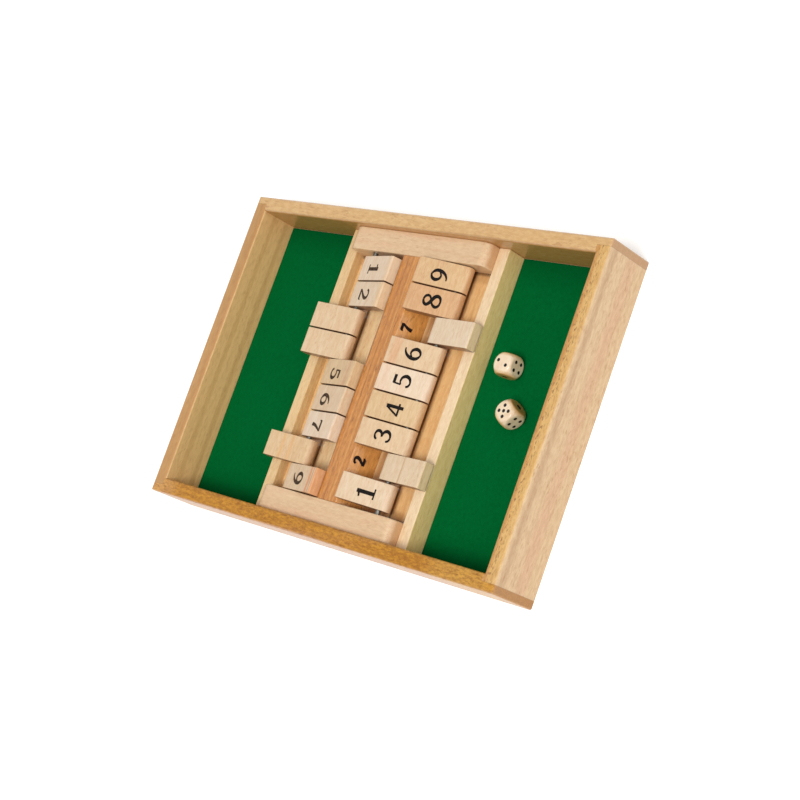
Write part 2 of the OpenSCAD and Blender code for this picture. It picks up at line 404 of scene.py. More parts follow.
def felt_finish():
    """Short wool felt: matted fibres in three sizes, a soft nap, a little sheen, and painted shade at the
    ends by the walls.
    """
    finish = Finish("felt_green", Roughness=0.95, Specular_IOR_Level=0.02, Sheen_Weight=0.12,
                    Sheen_Roughness=0.45, Sheen_Tint=paint(0, 170, 90))
    where = finish.millimetres()
    cloud = finish.noise(where, (26.0, 26.0, 26.0), 1.3, 3.0)
    mottle = finish.noise(where, (2.4, 2.4, 2.4), 4.9, 4.0, 0.65)
    warp_sockets = {"Vector": where, "Scale": 0.35}
    warped = finish.node("TexNoise", {"noise_dimensions": "3D"}, warp_sockets, "Color")
    bent = finish.mix(0.62, where, warped, "LINEAR_LIGHT")
    hair = finish.noise(bent, (1.7, 0.22, 0.5), 2.2, 2.0)
    cross = finish.noise(bent, (0.24, 1.6, 0.5), 6.1, 2.0)
    strands = finish.math("MAXIMUM", hair, cross)
    near_end = finish.away(finish.axis(where, 1)) / FELT_END
    cloudy = finish.ramp(cloud, (0.3, 0.0), (0.7, 0.55))
    colour = finish.mix(cloudy, paint(0, 98, 44), paint(0, 105, 49))
    matted = finish.ramp(mottle, (0.35, 0.0), (0.7, 0.5))
    colour = finish.mix(matted, colour, paint(0, 81, 35))
    bright = finish.ramp(strands, (0.55, 0.0), (0.8, 0.35))
    colour = finish.mix(bright, colour, paint(0, 122, 63))
    # Painted shade towards the ends, where the walls stand
    end_shade = finish.ramp(near_end, (0.8, 0.0), (1.0, 0.4))
    colour = finish.mix(end_shade, colour, paint(0, 62, 27))
    finish.shade(Base_Color=colour)
    finish.bump(strands * 0.7 + mottle * 0.5, FELT_RELIEF)
    return finish.material


def felt_sheet(node, material):
    """A closed sheet over the node's box.

    Top: z = top - waves - edge roll, where the roll is radius - sqrt(radius^2 - d^2) for a depth d
    within a radius of an edge. The underside is flat, and the top's outermost ring is joined to it.
    """
    low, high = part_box(node)
    xs = rounded(low.x, high.x, FELT_ROLL, FELT_STATIONS[0])
    ys = rounded(low.y, high.y, FELT_ROLL, FELT_STATIONS[1])
    x, y = np.meshgrid(xs, ys, indexing="ij")
    gap = np.minimum.reduce([x - low.x, high.x - x, y - low.y, high.y - y])
    depth = np.clip(FELT_ROLL - gap, 0, FELT_ROLL)
    roll = FELT_ROLL - np.sqrt(np.clip(FELT_ROLL ** 2 - depth ** 2, 0, None))
    wave = np.sin(x * 190 + 1.3 * np.sin(y * 61)) * np.sin(y * 143 + x * 37)
    z = high.z - FELT_WAVE * (1 + wave) - roll
    rows, columns = x.shape
    top = np.stack([x, y, z], -1).reshape(-1, 3)
    under = np.stack([x, y, np.full_like(x, low.z)], -1).reshape(-1, 3)
    index = np.arange(rows * columns).reshape(rows, columns)
    a, b, c, d = index[:-1, :-1], index[1:, :-1], index[1:, 1:], index[:-1, 1:]
    faces = np.stack([a, b, c, d], -1).reshape(-1, 4)
    rim = np.concatenate([index[:, 0], index[-1, 1:], index[-2::-1, -1], index[0, -2:0:-1]])
    after = np.roll(rim, -1)
    lower = rows * columns
    sides = np.stack([rim, rim + lower, after + lower, after], -1)
    faces = np.concatenate([faces, faces[:, ::-1] + lower, sides])
    points = np.concatenate([top, under])
    piece = mesh_piece(node + "_cloth", points.tolist(), faces.tolist(), "tray", [material])
    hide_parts(node)


# Numbers

# Each stroke is a smooth curve through points (x, y, width), for a figure one unit high
FIGURES = {
    1: [[(0.31, 0.0, 0.17), (0.31, 1.0, 0.17)],
        [(0.33, 0.97, 0.05), (0.2, 0.86, 0.09), (0.04, 0.82, 0.08)],
        [(0.05, 0.035, 0.07), (0.58, 0.035, 0.07)]],
    2: [[(0.05, 0.74, 0.1), (0.13, 0.88, 0.12), (0.31, 0.95, 0.1), (0.5, 0.88, 0.14),
         (0.56, 0.71, 0.165), (0.47, 0.51, 0.15), (0.28, 0.31, 0.12), (0.12, 0.16, 0.1),
         (0.05, 0.06, 0.1)],
        [(0.02, 0.065, 0.13), (0.6, 0.065, 0.13)],
        [(0.6, 0.02, 0.08), (0.65, 0.21, 0.06)]],
    3: [[(0.06, 0.8, 0.1), (0.15, 0.91, 0.11), (0.32, 0.955, 0.09), (0.49, 0.88, 0.13),
         (0.53, 0.74, 0.15), (0.44, 0.6, 0.12), (0.25, 0.54, 0.08)],
        [(0.25, 0.54, 0.08), (0.47, 0.49, 0.12), (0.59, 0.31, 0.165), (0.5, 0.12, 0.14),
         (0.29, 0.045, 0.09), (0.12, 0.1, 0.11), (0.04, 0.24, 0.1)]],
    4: [[(0.47, 0.0, 0.155), (0.47, 1.0, 0.155)],
        [(0.0, 0.27, 0.1), (0.68, 0.27, 0.1)],
        [(0.43, 0.99, 0.09), (0.05, 0.28, 0.09)]],
    5: [[(0.15, 0.96, 0.08), (0.12, 0.53, 0.08)],
        [(0.12, 0.93, 0.14), (0.58, 0.93, 0.14)],
        [(0.12, 0.54, 0.07), (0.3, 0.6, 0.09), (0.5, 0.53, 0.13), (0.59, 0.33, 0.165),
         (0.5, 0.13, 0.14), (0.29, 0.045, 0.09), (0.12, 0.1, 0.11), (0.05, 0.23, 0.1)]],
    6: [[(0.58, 0.95, 0.06), (0.41, 0.92, 0.09), (0.22, 0.76, 0.13), (0.11, 0.5, 0.16),
         (0.13, 0.22, 0.15), (0.33, 0.045, 0.09), (0.53, 0.12, 0.13), (0.61, 0.32, 0.16),
         (0.53, 0.52, 0.13), (0.35, 0.59, 0.09), (0.15, 0.46, 0.07)]],
    7: [[(0.03, 0.925, 0.14), (0.64, 0.925, 0.14)],
        [(0.6, 0.92, 0.09), (0.44, 0.62, 0.12), (0.31, 0.32, 0.15), (0.26, 0.0, 0.17)],
        [(0.04, 0.98, 0.08), (0.02, 0.77, 0.06)]],
    8: [[(0.33, 0.955, 0.09), (0.16, 0.88, 0.12), (0.1, 0.74, 0.14), (0.2, 0.6, 0.155),
         (0.36, 0.51, 0.165), (0.53, 0.4, 0.165), (0.59, 0.25, 0.15), (0.51, 0.1, 0.12),
         (0.32, 0.045, 0.09), (0.13, 0.1, 0.12), (0.06, 0.25, 0.13), (0.15, 0.42, 0.1),
         (0.35, 0.54, 0.08), (0.51, 0.64, 0.09), (0.55, 0.77, 0.12), (0.49, 0.89, 0.11),
         (0.33, 0.955, 0.09)]],
}
# A nine is a six turned half round in its box
SIX_BOX = (0.68, 1)
FIGURES[9] = [[(SIX_BOX[0] - x, SIX_BOX[1] - y, width) for x, y, width in stroke] for stroke in FIGURES[6]]
# Corners of a figure nearer than this, as a share of its height, are one
SAME_CORNER = 1e-5
# Half the thickness of a printed figure
INK = 0.03 * MM
INK_RELIEF = 0.02 * MM


def smooth_line(points, steps=7):
    """Catmull-Rom through the points.

    Half of 2p1 + (p2 - p0)t + (2p0 - 5p1 + 4p2 - p3)t^2 + (3p1 - p0 - 3p2 + p3)t^3.
    """
    p = np.array(points, float)
    if len(p) == 2:
        return p
    p = np.concatenate([[2 * p[0] - p[1]], p, [2 * p[-1] - p[-2]]])
    t = np.linspace(0, 1, steps, endpoint=False)[None, :, None]
    p0, p1, p2, p3 = (p[i:len(p) - 3 + i, None, :] for i in range(4))
    curve = 2 * p1 + (p2 - p0) * t + (2 * p0 - 5 * p1 + 4 * p2 - p3) * t ** 2
    curve = 0.5 * (curve + (3 * p1 - p0 - 3 * p2 + p3) * t ** 3)
    return np.concatenate([curve.reshape(-1, 3), p[-2:-1]])


def figure_plan(number, weight):
    """Triangles of a figure in its plane: each stroke a ribbon of its width, all ribbons made one."""
    corners = []
    quads = []
    for stroke in FIGURES[number]:
        line = smooth_line(stroke)
        ahead = np.gradient(line[:, :2], axis=0)
        ahead /= np.linalg.norm(ahead, axis=1, keepdims=True)
        half = np.stack([-ahead[:, 1], ahead[:, 0]], -1) * line[:, 2:] * weight / 2
        first = len(corners)
        corners += (line[:, :2] + half).tolist() + (line[:, :2] - half).tolist()
        count = len(line)
        for i in range(first, first + count - 1):
            quads.append((i, i + count, i + count + 1, i + 1))
    flat = [Vector(corner) for corner in corners]
    found = delaunay_2d_cdt(flat, [], quads, 0, SAME_CORNER)
    plan = np.array([tuple(corner) for corner in found[0]])
    triangles = np.array([face for face, source in zip(found[2], found[5]) if source])
    a, b, c = (plan[triangles[:, i]] for i in range(3))
    first_way = b - a
    second_way = c - a
    turned = first_way[:, 0] * second_way[:, 1] - first_way[:, 1] * second_way[:, 0] < 0
    triangles[turned] = triangles[turned][:, ::-1]
    return plan, triangles


def printed(name, number, centre, right, up, height, body, material, weight):
    """A figure as a film of ink: the plan raised by the film's thickness, with walls on its outline."""
    plan, triangles = figure_plan(number, weight)
    right, up, centre = (np.array(v, float) for v in (right, up, centre))
    out = np.cross(right, up)
    size = plan.max(0) - plan.min(0)
    plan = (plan - plan.min(0) - size / 2) * height / size[1]
    flat = centre + plan[:, :1] * right + plan[:, 1:] * up
    used, triangles = np.unique(triangles, return_inverse=True)
    triangles = triangles.reshape(-1, 3)
    flat = flat[used]
    count = len(flat)
    edges = np.concatenate([triangles[:, [0, 1]], triangles[:, [1, 2]], triangles[:, [2, 0]]])
    key = np.sort(edges, 1) @ [count, 1]
    _, first, shared = np.unique(key, return_index=True, return_counts=True)
    outline = edges[first[shared == 1]]
    walls = np.concatenate([
        np.stack([outline[:, 0], outline[:, 0] + count, outline[:, 1] + count], -1),
        np.stack([outline[:, 0], outline[:, 1] + count, outline[:, 1]], -1),
    ])
    points = np.concatenate([flat + out * INK, flat - out * INK])
    faces = np.concatenate([triangles, triangles[:, ::-1] + count, walls])
    piece = mesh_piece(name, points.tolist(), faces.tolist(), body, [material], smooth=False)


def ink_finish(name, full, faded, wear):
    """Printing ink: uneven black whose thin places let the wood's colour through."""
    finish = Finish(name, Roughness=0.5, Specular_IOR_Level=0.12)
    where = finish.millimetres()
    patch = finish.noise(where, (1.6, 2.6, 1.6), 3.3, 3.0)
    grain = finish.noise(where, (0.25, 1.6, 0.25), 9.4, 2.0)
    thin = finish.ramp(patch * 0.6 + grain * 0.4, (0.42, 0.0), (0.7, 1.0))
    finish.shade(Base_Color=finish.mix(thin * wear, full, faded), Roughness=0.42 + grain * 0.25)
    finish.bump(grain, INK_RELIEF)
    return finish.material


# Walls

# Each wood has a light, a dark and a warm tone
CREAM = (paint(232, 202, 158), paint(219, 180, 130), paint(184, 134, 84))
MAPLE = (paint(209, 161, 98), paint(186, 132, 68), paint(150, 94, 40))
BUFF = (paint(226, 194, 148), paint(212, 172, 120), paint(176, 124, 76))
GOLD = (paint(214, 152, 44), paint(188, 122, 26), paint(136, 78, 14))
AMBER = (paint(236, 168, 84), paint(192, 114, 38), paint(122, 66, 22))
HONEY = (paint(252, 218, 162), paint(242, 190, 122), paint(206, 140, 74))
BLOND = (paint(236, 207, 166), paint(222, 187, 144), paint(186, 139, 98))
SALLOW = (paint(252, 228, 190), paint(240, 208, 162), paint(204, 160, 108))
FAWN = (paint(244, 212, 158), paint(228, 188, 128), paint(188, 140, 80))

CORNER_SEAMS = [(1, 95.0, 0.3, 0.55)]
WALL_LOOK = {"bands": 0.8, "grit": (3.8, 1.0), "flecks": 0.7, "waver": 3.0, "end": 0.7,
             "end_tone": paint(180, 134, 92)}
# Each wall's grain, tone, seed and its changes to WALL_LOOK
WALLS = {
    "wall_left": (Y_AXIS, MAPLE, 2.0, {
        "coat": 0.6, "mottle": 0.25, "flecks": 0.25, "seams": CORNER_SEAMS,
        # Painted light: the pale tint on the inner face, which looks along +x
        "faces": [((1, 0, 0), paint(255, 210, 146), 0.9)],
        "stains": [(2, -4.0, 2.5, paint(190, 140, 80), 0.35), (2, 7.0, 2.2, paint(200, 150, 84), 0.35)],
    }),
    "wall_right": (Y_AXIS, BUFF, 21.0, {
        "coat": 0.5, "mottle": 0.35, "waver": 4.0, "seams": CORNER_SEAMS,
        # Painted light: the pale tint on the outer face, which looks along +x
        "faces": [((0, 0, 1), paint(226, 176, 86), 0.75), ((1, 0, 0), paint(230, 206, 170), 0.4)],
        "stains": [(1, 4.2, 3.2, paint(192, 124, 42), 0.75), (2, 12.4, 3.2, paint(166, 118, 82), 0.38),
                   (2, -4.0, 6.0, paint(216, 160, 128), 0.4)],
        "dashes": [(1, 0.8, 5.0, paint(112, 66, 28), 0.75)],
    }),
    "wall_far": (X_AXIS, BUFF, 37.0, {
        "coat": 0.6, "mottle": 0.35,
        # Painted shade: the darker tint on the inner face, which looks along -y, and the dark stripe over
        # that face and its arris
        "faces": [((0, 0, 1), paint(226, 178, 104), 0.55), ((0, -1, 0), paint(210, 144, 54), 0.85)],
        "stains": [(1, -4.9, 1.4, paint(150, 104, 52), 0.4)],
    }),
    "wall_near": (X_AXIS, GOLD, 55.0, {
        # Painted reflection: the pale tint on the outer face, which looks along -y, and the pale stripe
        # over that face and its arris; the mottle is kept faint there
        "coat": 0.2, "mottle": 0.7, "blotch": (3.0, 1.2, 1.2), "calm": (0, -1, 0),
        "faces": [((0, -1, 0), paint(228, 186, 144), 0.6)],
        "stains": [(1, -4.9, 1.0, paint(226, 186, 160), 0.6), (0, -145.0, 26.0, paint(236, 184, 122), 0.6),
                   (0, 120.0, 30.0, paint(232, 184, 96), 0.5)],
    }),
}
for wall, (along, tone, seed, changes) in WALLS.items():
    look = {**WALL_LOOK, **changes}
    dress(timber(wall + "_wood", along, UP, middle_of(wall), tone, seed, **look), wall)

# Carrier

# Painted shade by the end blocks, and the darkest painted shade under the heels and at the blocks' feet
BLOCK_END_SHADE = paint(150, 92, 46)
DEEPEST_SHADE = paint(48, 26, 12)
# Painted light and shade on the floor: pale stripes of painted light, painted shade under the tiles and at
# their heels, and painted shade at the ends by the blocks
CARRIER_LIGHT_AND_SHADE = [
    (1, 22.0, 9.0, paint(255, 230, 182), 0.95), (1, 50.0, 6.5, paint(255, 222, 160), 0.8),
    (1, -41.6, 3.8, paint(255, 211, 146), 0.9), (1, 33.0, 5.5, paint(255, 226, 176), 1.0),
    (1, -22.0, 8.0, paint(150, 88, 40), 0.85),
    (0, 74.0, 5.0, BLOCK_END_SHADE, 0.4), (0, -74.0, 5.0, BLOCK_END_SHADE, 0.4),
    (0, 76.4, 2.4, DEEPEST_SHADE, 0.9), (0, -76.4, 2.4, DEEPEST_SHADE, 0.9),
    (1, -38.2, 1.2, DEEPEST_SHADE, 0.9), (1, 35.4, 1.2, DEEPEST_SHADE, 0.9),
]
carrier_wood = timber("carrier_wood", Y_AXIS, UP, middle_of("carrier_board"), HONEY, 70.0,
                      rings=0.45, ring_step=7.0, pith=(4.0, -14.0), bands=0.8, rose=0.1,
                      mottle=0.3, waver=0.7, stains=CARRIER_LIGHT_AND_SHADE)
dress(carrier_wood, "carrier_board")

RAIL_EASE = 0.6 * MM
BLOCK_EASE = 0.9 * MM
RIDGE_EASE = 0.4 * MM
RAILS = {
    "rail_left": (FAWN, 83.0, ()),
    # Painted light: the yellow tint on the right rail's side, which looks along +x
    "rail_right": (SALLOW, 91.0, [((1, 0, 0), paint(252, 224, 142), 0.85)]),
}
for rail, (tone, seed, faces) in RAILS.items():
    finish = timber(rail + "_wood", Y_AXIS, UP, middle_of(rail), tone, seed,
                    bands=0.9, band_size=(110.0, 2.6), rose=0.25, mottle=0.3, faces=faces)
    eased(rail, "tray", finish, RAIL_EASE)
for block, seed in (("end_block_far", 103.0), ("end_block_near", 115.0)):
    finish = timber(block + "_wood", X_AXIS, UP, middle_of(block), BLOND, seed,
                    coat=0.6, satin=0.32, bands=0.95, band_size=(90.0, 2.8), rings=0.2, rose=0.5,
                    mottle=0.25, end=0.5, end_tone=paint(206, 150, 96))
    eased(block, "tray", finish, BLOCK_EASE, 4)
# Painted light on the slope that looks along +x, and painted shade in the dark stripe along the top's left
# edge; the other stripes are the wood's own streaks
ridge_wood = timber("ridge_wood", Y_AXIS, UP, middle_of("ridge"), AMBER, 127.0,
                    bands=1.0, band_size=(70.0, 1.6), fine=0.8, rose=0.15, flecks=0.8, mottle=0.3,
                    faces=[((0.954, 0, 0.3), paint(248, 180, 100), 0.5)], waver=4.0,
                    stains=[(1, 7.6, 0.9, paint(112, 64, 28), 0.6), (1, 2.4, 0.8, paint(150, 88, 34), 0.5),
                            (1, -3.0, 0.8, paint(240, 182, 102), 0.5)])
eased("ridge", "tray", ridge_wood, RIDGE_EASE)


PANEL_RELIEF = 0.12 * MM
STEEL_RELIEF = 0.02 * MM


def panel_finish():
    """Thin plywood: broad rotary-cut figure and open grain, matt."""
    finish = Finish("panel_ply", Roughness=0.62)
    where = finish.board(X_AXIS, UP, (0, 0, 0))
    figure = finish.noise(where, (120.0, 14.0, 14.0), 5.0, 3.0, 0.5)
    tooth = finish.math("FRACT", figure * 7.0)
    leaf = finish.ramp(tooth, (0.0, 0.1), (0.7, 0.35), (0.95, 1.0), (1.0, 0.1))
    fibre = finish.noise(where, (9.0, 0.35, 0.35), 12.0, 3.0)
    colour = finish.mix(leaf * 0.5, paint(214, 182, 138), paint(184, 144, 98))
    colour = finish.mix(fibre * 0.35, colour, paint(160, 120, 80))
    finish.shade(Base_Color=colour)
    finish.bump(fibre * 0.7 + leaf * 0.3, PANEL_RELIEF)
    return finish.material


def steel_finish():
    """Bright drawn wire: fine rings round it and a few dull patches."""
    finish = Finish("rod_steel", Metallic=1.0, Roughness=0.3)
    where = finish.millimetres()
    drawn = finish.noise(where, (0.4, 9.0, 0.4), 1.0, 3.0)
    dull = finish.noise(where, (6.0, 6.0, 6.0), 7.0, 3.0)
    colour = finish.mix(dull, paint(138, 136, 128), paint(92, 88, 82))
    finish.shade(Base_Color=colour, Roughness=0.22 + drawn * 0.2 + dull * 0.12)
    finish.bump(drawn, STEEL_RELIEF)
    return finish.material


dress(panel_finish(), "bottom_panel")
dress(steel_finish(), "rod_left", "rod_right")

# Tiles

HINGES = {joint["child"]: joint for joint in frame["joints"]}


def tile_frame(row, number):
    """A tile's name, whether it is raised, its axle, two ways, and how far its face is from the axle.

    The ways are to the tip and out of the numbered face, both read from the resting mesh. The face is
    the largest flat one whose normal points up on a raised tile, and down on a shut one.
    """
    name = f"{row}_tile_{number}"
    mesh = frame["nodes"][name].data
    axle = np.array(HINGES[name]["pos_m"])
    raised = HINGES[name]["range_deg"][1] > 0
    areas = np.zeros(len(mesh.polygons))
    normals = np.zeros(3 * len(mesh.polygons))
    spots = np.zeros(3 * len(mesh.vertices))
    mesh.polygons.foreach_get("area", areas)
    mesh.polygons.foreach_get("normal", normals)
    mesh.vertices.foreach_get("co", spots)
    normals = normals.reshape(-1, 3)
    spots = spots.reshape(-1, 3) - axle
    areas *= (normals[:, 2] > 0) == raised
    kinds, which = np.unique(np.round(normals, 3), axis=0, return_inverse=True)
    out = kinds[np.argmax(np.bincount(which.ravel(), areas))]
    out = np.array([out[0], 0.0, out[2]]) / np.hypot(out[0], out[2])
    tip = np.cross([0.0, 1.0, 0.0], out)
    tip *= np.sign((spots @ tip).max() + (spots @ tip).min())
    return name, raised, axle, tip, out, (spots @ out).max()


def blended(first, second, share):
    """A wood between two, tone by tone."""
    return tuple(tuple(a + (b - a) * share for a, b in zip(one, two)) for one, two in zip(first, second))


MILK = (paint(236, 216, 190), paint(227, 203, 170), paint(200, 158, 114))
PEACH = (paint(228, 184, 138), paint(213, 162, 114), paint(176, 120, 74))
STRAW = (paint(234, 206, 164), paint(220, 188, 142), paint(176, 134, 88))
CHALK = (paint(247, 228, 208), paint(240, 217, 190), paint(216, 176, 136))
# Each tile's wood: a first and a second, and the second's share
TILE_TONES = {
    "right": {1: (MILK, CREAM, 0.1), 2: (MILK, STRAW, 0.3), 3: (CREAM, MILK, 0.5),
              4: (CREAM, STRAW, 0.8), 5: (MILK, CHALK, 0.5), 6: (CREAM, MILK, 0.5),
              7: (MILK, CHALK, 0.05), 8: (PEACH, CREAM, 0.25), 9: (CREAM, PEACH, 0.1)},
    "left": {1: (MILK, CHALK, 0.4), 2: (MILK, CHALK, 0.1), 3: (CREAM, MILK, 0.5),
             4: (CREAM, MILK, 0.5), 5: (STRAW, PEACH, 0.05), 6: (MILK, CREAM, 0.3),
             7: (CHALK, MILK, 0.5), 8: (CREAM, MILK, 0.2), 9: (CREAM, MILK, 0.6)},
}
# The sides, cut across the grain, are browner end grain, made darker still as painted shade in the gaps
# between the tiles
TILE_LOOK = {
    "coat": 0.5, "satin": 0.34, "bands": 1.0, "band_size": (30.0, 1.7), "rose": 0.45,
    "rings": 0.25, "fine": 0.85, "flecks": 0.6, "grit": (3.0, 0.7), "mottle": 0.3,
    "waver": 1.2, "end": 0.85, "end_tone": paint(108, 64, 36),
}
# The warm light on a shut tile's tip, as timber's faces without the normal
TIP_TINT = (paint(255, 226, 160), 0.45)
# Painted shade with warm bounce light on the heel's rounding, and stains, in a tile's own frame, whose y
# runs from its middle to its tip
HEEL_SHADE = [(1, -18.0, 2.4, paint(206, 146, 92), 0.4)]
TILE_MARKS = {
    ("right", 2): [(1, 0.6, 0.8, paint(184, 136, 92), 0.5)],
    ("right", 5): [(1, 13.0, 3.0, paint(224, 176, 148), 0.3)],
    ("right", 6): [(1, 12.0, 3.5, paint(222, 166, 124), 0.6)],
    ("left", 1): [(1, 16.0, 2.4, paint(228, 180, 118), 0.35)],
    ("left", 2): [(1, 16.0, 3.0, paint(238, 190, 120), 0.4)],
    ("left", 5): [(1, 13.0, 2.4, paint(206, 130, 96), 0.4)],
    ("left", 8): [(1, -2.0, 1.6, paint(226, 168, 104), 0.6), (1, 5.0, 1.4, paint(228, 172, 108), 0.6)],
    ("left", 9): [(1, 13.0, 1.5, paint(218, 124, 52), 0.85), (1, 15.4, 0.7, paint(150, 84, 40), 0.6),
                  (1, 17.4, 0.8, paint(228, 142, 72), 0.8)],
}
# Each figure's middle along from the axle and across towards the higher numbers, and its height
SPOTS = {
    "right": {1: (9.5, -0.5, 12.0), 3: (11.6, 0.2, 11.2), 4: (10.2, -0.2, 11.3),
              5: (11.4, 0.5, 11.6), 6: (11.0, 0.5, 11.4), 8: (10.8, 0.0, 12.4),
              9: (11.7, -1.1, 11.3)},
    "left": {1: (10.4, 0.6, 11.2), 2: (10.2, 0.4, 11.0), 5: (10.0, 1.3, 11.0),
             6: (9.1, 1.0, 11.2), 7: (9.8, 0.6, 11.2), 9: (10.4, 0.4, 11.6)},
}
# The same for a shut tile, whose figure can't be seen
HIDDEN_SPOT = (10.5, 0.3, 11.4)
INK_BLACK = ink_finish("ink_black", paint(10, 8, 8), paint(70, 54, 40), 0.2)
INK_BROWN = ink_finish("ink_brown", paint(36, 26, 20), paint(140, 104, 72), 0.5)
INK_SMALL = ink_finish("ink_small", paint(14, 8, 8), paint(80, 50, 30), 0.2)
# Each row's ink and how heavy its figures are
ROW_INK = {"right": (INK_BLACK, 1.15), "left": (INK_BROWN, 1.2)}
# From the axle to the middle of a tile's grain
TILE_MIDDLE = 10.5 * MM
TILE_EASE = 0.3 * MM

for row, side in ROWS.items():
    ink, weight = ROW_INK[row]
    for number in NUMBERS:
        name, raised, axle, tip, out, off = tile_frame(row, number)
        right = np.cross(tip, out)
        seed = 200.0 + 13.7 * number + 7.1 * side
        tone = blended(*TILE_TONES[row][number])
        # The heel's painted shade and each tile's own marks
        stains = HEEL_SHADE + TILE_MARKS.get((row, number), [])
        faces = () if raised else [(tuple(tip), *TIP_TINT)]
        finish = timber(name + "_wood", right, out, axle + tip * TILE_MIDDLE, tone, seed,
                        stains=stains, faces=faces, **TILE_LOOK)
        eased(name, name, finish, TILE_EASE, 2)
        along, across, height = SPOTS[row].get(number, HIDDEN_SPOT)
        centre = axle + tip * along * MM + right * across * MM + out * off
        printed(f"{name}_figure", number, centre, right, tip, height * MM, name, ink, weight)

# Small figures on the two slopes of the ridge, read from each player's side

# Half the width of the ridge's flat top
TOP_HALF = 7.9 * MM
SMALL_HEIGHT = 7.6 * MM
SMALL_WEIGHT = 1.9
# An eight has to be thinner, or its eyes fill in
SMALL_EIGHT_WEIGHT = 1.4
# The figures' middle, as a share of the slope from the top
DOWN_SHARE = 0.33
# How many millimetres a small figure is stamped off its tile's middle
SLIPS = {("right", 7): -1.3, ("right", 2): -0.5}
ridge_low, ridge_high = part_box("ridge")
slope = np.array([ridge_high.x - TOP_HALF, 0.0, ridge_low.z - ridge_high.z])
slope_length = np.linalg.norm(slope)
for row, side in ROWS.items():
    down = slope * [side, 1, 1] / slope_length
    right = np.array([0.0, side, 0.0])
    for number in NUMBERS:
        place = HINGES[f"{row}_tile_{number}"]["pos_m"][1] + SLIPS.get((row, number), 0.0) * MM
        centre = np.array([side * TOP_HALF, place, ridge_high.z]) + down * slope_length * DOWN_SHARE
        weight = SMALL_EIGHT_WEIGHT if number == 8 else SMALL_WEIGHT
        name = f"ridge_{row}_figure_{number}"
        printed(name, number, centre, right, -down, SMALL_HEIGHT, "tray", INK_SMALL, weight)

# Dice

# Each die's turn about z in degrees, and whether it stands on its other end
DICE = {"die_1": (1.0, False), "die_2": (-40.0, True)}
# Number, the axis and angle that turn the upper face to its place, and the number's own turn in its face
DIE_FACES = [
    (2, "X", 0, 23), (5, "X", 180, 0), (4, "Y", 90, 0),
    (3, "Y", -90, 0), (1, "X", 90, 0), (6, "X", -90, 0),
]
PIPS = {1: [(0, 0)], 2: [(1, -1), (-1, 1)]}
PIPS[3] = PIPS[1] + PIPS[2]
PIPS[4] = PIPS[2] + [(1, 1), (-1, -1)]
PIPS[5] = PIPS[1] + PIPS[4]
PIPS[6] = PIPS[4] + [(1, 0), (-1, 0)]
DIE_HALF = 6.5 * MM
DIE_BALL = 8.5 * MM
DIE_SOFTNESS = 30.0
DIE_CELLS = 96
PIP_REACH = 2.3 * MM
PIP_RADIUS = 1.05 * MM
LONE_PIP_RADIUS = 1.7 * MM
PIP_DEPTH = 0.4 * MM
PIP_CURVE = 0.6
# How wide the enamel's edge fades
PAINT_EDGE = 0.1 * MM
# Points of the die's faces nearer than this are one
DIE_POINT = 1e-7


def die_surface(name, centre, stand):
    """A tumbled wooden die with dished pips.

    Body: |x/h|^p + |y/h|^p + |z/h|^p + (r/b)^p = 1, a cube of half size h met softly by a ball of
    radius b. It is drawn on the six faces of a cube with equal angles between the lines. Over a pip
    of radius a the surface drops by depth * (1 - (d/a)^2)^curve at the distance d from the pip's
    middle, and the paint covers the dish.
    """
    lines = np.tan(np.linspace(-math.pi / 4, math.pi / 4, DIE_CELLS + 1))
    u, v = np.meshgrid(lines, lines, indexing="ij")
    way = np.stack([u, v, np.ones_like(u)], -1).reshape(-1, 3)
    total = (np.abs(way / DIE_HALF) ** DIE_SOFTNESS).sum(1)
    total += (np.linalg.norm(way, axis=1) / DIE_BALL) ** DIE_SOFTNESS
    shell = way * total[:, None] ** (-1 / DIE_SOFTNESS)
    index = np.arange(len(shell)).reshape(u.shape)
    quads = np.stack([index[:-1, :-1], index[1:, :-1], index[1:, 1:], index[:-1, 1:]], -1).reshape(-1, 4)
    points = []
    paints = []
    faces = []
    for number, axis, angle, own_turn in DIE_FACES:
        side = shell.copy()
        covered = np.zeros(len(shell))
        radius = LONE_PIP_RADIUS if number == 1 else PIP_RADIUS
        spin = np.array(Matrix.Rotation(math.radians(own_turn), 2))
        for spot in PIPS[number]:
            off = np.linalg.norm(side[:, :2] - spin @ np.array(spot) * PIP_REACH, axis=1)
            side[:, 2] -= PIP_DEPTH * np.clip(1 - (off / radius) ** 2, 0, 1) ** PIP_CURVE
            covered = np.maximum(covered, np.clip((radius - off) / PAINT_EDGE + 0.5, 0, 1))
        turn = np.array(stand @ Matrix.Rotation(math.radians(angle), 3, axis))
        faces.append(quads + len(points) * len(shell))
        points.append(side @ turn.T + np.array(centre))
        paints.append(covered)
    points = np.concatenate(points)
    cells = np.round(points / DIE_POINT)
    _, first, shared = np.unique(cells, axis=0, return_index=True, return_inverse=True)
    faces = shared.ravel()[np.concatenate(faces)]
    piece = mesh_piece(name + "_turned", points[first].tolist(), faces.tolist(), name, [])
    covered = piece.data.attributes.new("enamel", "FLOAT", "POINT")
    covered.data.foreach_set("value", np.concatenate(paints)[first])
    return piece


IVORY = (paint(250, 234, 208), paint(238, 210, 170), paint(204, 156, 92))
